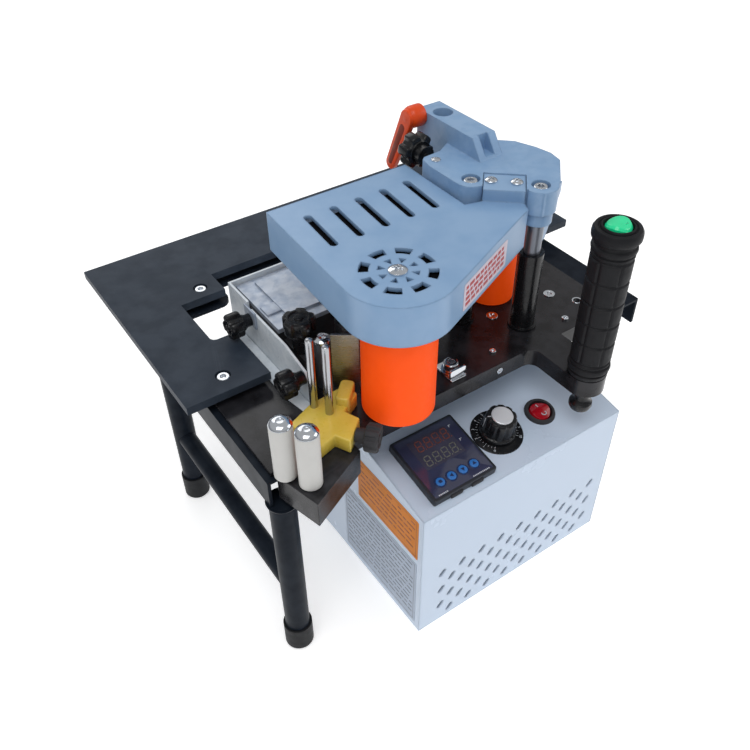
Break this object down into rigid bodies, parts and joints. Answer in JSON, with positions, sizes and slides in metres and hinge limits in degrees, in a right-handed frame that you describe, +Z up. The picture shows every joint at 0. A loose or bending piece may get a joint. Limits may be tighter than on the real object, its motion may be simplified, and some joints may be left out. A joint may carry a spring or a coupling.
{
  "type": "edge banding machine",
  "caption": "Bench edge banding machine: feed rollers under a vented cover, glue pot, tape guides, clamp head, grip handle and sloped control box, on a slotted work table with two legs.",
  "frame": {"origin": "on the floor under the middle of the machine", "axes": "+X to the operator's right along the table, +Y to the back, +Z up"},
  "size_m": [0.32, 0.28, 0.284],
  "materials": {
    "plate_black": "satin powder coat",
    "frame_black": "semi-gloss paint",
    "base_black": "gloss paint",
    "rubber_black": "matte",
    "white_paint": "gloss powder coat",
    "blue_grey": "gloss paint on a casting",
    "orange_rubber": "smooth",
    "orange_plastic": "moulded",
    "steel": "machined",
    "chrome": "polished",
    "aluminium": "cast",
    "black_plastic": "moulded",
    "panel_dark": "smooth",
    "blue_button": "smooth",
    "red_lens": "clear tinted",
    "green_lens": "clear tinted",
    "yellow_paint": "gloss paint on a casting",
    "white_pom": "turned",
    "board_green": "circuit board",
    "motor_grey": "paint",
    "cast_grey": "machined casting",
    "belt_black": "moulded"
  },
  "bodies": {
    "machine": {"table_plate": "plate_black", "table_screws": "chrome", "spacers": "frame_black", "table_carrier": "frame_black", "left_rail": "frame_black", "right_rail": "frame_black", "front_leg": "frame_black", "back_leg": "frame_black", "stretcher": "frame_black", "foot_caps": "rubber_black", "base_plate": "base_black", "base_screws": "chrome", "box_shell": "white_paint", "box_floor": "white_paint", "controller": "black_plastic", "display": "panel_dark", "dial_plate": "black_plastic", "potentiometer": "steel", "switch_bezel": "black_plastic", "drive_motor": "motor_grey", "gearbox": "cast_grey", "speed_board": "board_green", "cable_gland": "black_plastic", "drive_belt": "belt_black", "top_cover": "blue_grey", "cover_screw": "chrome", "posts": "aluminium", "sleeves": "black_plastic", "clamp_head": "blue_grey", "head_screws": "chrome", "glue_pot": "cast_grey", "pot_shield": "white_paint", "heaters": "steel", "steel_guide": "chrome", "feed_bracket": "base_black", "handle": "rubber_black"},
    "front_roller": {"front_roller": "orange_rubber", "front_shaft": "steel"},
    "back_roller": {"back_roller": "orange_rubber", "back_shaft": "steel"},
    "glue_roller": {"glue_roller": "steel"},
    "guide_roller": {"guide_roller": "chrome"},
    "tape_roller_1": {"tape_roller_1": "white_pom"},
    "tape_roller_2": {"tape_roller_2": "white_pom"},
    "speed_knob": {"speed_knob": "black_plastic", "knob_cap": "chrome"},
    "power_rocker": {"power_rocker": "red_lens"},
    "button_1": {"button_1": "blue_button"},
    "button_2": {"button_2": "blue_button"},
    "button_3": {"button_3": "blue_button"},
    "button_4": {"button_4": "blue_button"},
    "clamp_lever": {"clamp_lever": "orange_plastic"},
    "head_knob": {"head_knob": "black_plastic"},
    "pot_lid": {"pot_lid": "aluminium"},
    "side_knob": {"side_knob": "black_plastic"},
    "dose_knob": {"dose_knob": "black_plastic"},
    "front_knob": {"front_knob": "black_plastic"},
    "tape_guide": {"tape_guide": "yellow_paint"},
    "thumb_knob": {"thumb_knob": "black_plastic"},
    "handle_switch": {"handle_switch": "green_lens"}
  },
  "joints": [
    {"name": "front_roller_spin", "type": "hinge", "parent": "machine", "child": "front_roller", "pos_m": [-0.053, -0.082, 0.2], "axis": [0, 0, 1], "continuous": true},
    {"name": "back_roller_spin", "type": "hinge", "parent": "machine", "child": "back_roller", "pos_m": [0.0613, -0.0307, 0.2], "axis": [0, 0, 1], "continuous": true},
    {"name": "glue_roller_spin", "type": "hinge", "parent": "machine", "child": "glue_roller", "pos_m": [-0.058, -0.038, 0.19], "axis": [0, 0, 1], "continuous": true},
    {"name": "guide_roller_spin", "type": "hinge", "parent": "machine", "child": "guide_roller", "pos_m": [-0.079, -0.0425, 0.18], "axis": [0, 0, 1], "continuous": true},
    {"name": "tape_roller_1_spin", "type": "hinge", "parent": "machine", "child": "tape_roller_1", "pos_m": [-0.1344, -0.0915, 0.18], "axis": [0, 0, 1], "continuous": true},
    {"name": "tape_roller_2_spin", "type": "hinge", "parent": "machine", "child": "tape_roller_2", "pos_m": [-0.1265, -0.1045, 0.18], "axis": [0, 0, 1], "continuous": true},
    {"name": "speed_turn", "type": "hinge", "parent": "machine", "child": "speed_knob", "pos_m": [0.0115, -0.10318, 0.13188], "axis": [0, -0.1736, 0.9848], "range_deg": [-270, 0]},
    {"name": "power_switch", "type": "hinge", "parent": "machine", "child": "power_rocker", "pos_m": [0.047, -0.10289, 0.11873], "axis": [1, 0, 0], "range_deg": [-6, 6]},
    {"name": "clamp_lever_turn", "type": "hinge", "parent": "machine", "child": "clamp_lever", "pos_m": [0.0412, 0.0335, 0.277], "axis": [1, 0, 0], "range_deg": [0, 100]},
    {"name": "head_knob_turn", "type": "hinge", "parent": "machine", "child": "head_knob", "pos_m": [0.03, 0.016, 0.2645], "axis": [0, 1, 0], "continuous": true},
    {"name": "pot_lid_open", "type": "hinge", "parent": "machine", "child": "pot_lid", "pos_m": [-0.068, 0.0435, 0.195], "axis": [-1, 0, 0], "range_deg": [0, 30]},
    {"name": "side_knob_turn", "type": "hinge", "parent": "machine", "child": "side_knob", "pos_m": [-0.1, 0.0155, 0.188], "axis": [1, 0, 0], "continuous": true},
    {"name": "dose_knob_turn", "type": "hinge", "parent": "machine", "child": "dose_knob", "pos_m": [-0.0845, -0.0265, 0.205], "axis": [0, 0, 1], "continuous": true},
    {"name": "front_knob_turn", "type": "hinge", "parent": "machine", "child": "front_knob", "pos_m": [-0.1, -0.047, 0.185], "axis": [1, 0, 0], "continuous": true},
    {"name": "tape_guide_slide", "type": "slide", "parent": "machine", "child": "tape_guide", "axis": [1, 0, 0], "range_m": [-0.002, 0.002]},
    {"name": "thumb_knob_turn", "type": "hinge", "parent": "tape_guide", "child": "thumb_knob", "pos_m": [-0.0901, -0.0926, 0.1725], "axis": [0.6534, -0.757, 0], "continuous": true},
    {"name": "handle_switch_tilt", "type": "hinge", "parent": "machine", "child": "handle_switch", "pos_m": [0.0595, -0.124, 0.2605], "axis": [1, 0, 0], "range_deg": [-6, 6]},
    {"name": "button_1_press", "type": "slide", "parent": "machine", "child": "button_1", "axis": [0, 0.1736, -0.9848], "range_m": [0, 0.0006], "stiffness_N_per_m": 900, "springref_m": -0.0002},
    {"name": "button_2_press", "type": "slide", "parent": "machine", "child": "button_2", "axis": [0, 0.1736, -0.9848], "range_m": [0, 0.0006], "stiffness_N_per_m": 900, "springref_m": -0.0002},
    {"name": "button_3_press", "type": "slide", "parent": "machine", "child": "button_3", "axis": [0, 0.1736, -0.9848], "range_m": [0, 0.0006], "stiffness_N_per_m": 900, "springref_m": -0.0002},
    {"name": "button_4_press", "type": "slide", "parent": "machine", "child": "button_4", "axis": [0, 0.1736, -0.9848], "range_m": [0, 0.0006], "stiffness_N_per_m": 900, "springref_m": -0.0002}
  ],
  "couplings": [
    {"joint": "back_roller_spin", "follows": "front_roller_spin", "ratio": 1.4145},
    {"joint": "glue_roller_spin", "follows": "front_roller_spin", "ratio": 2.5}
  ]
}
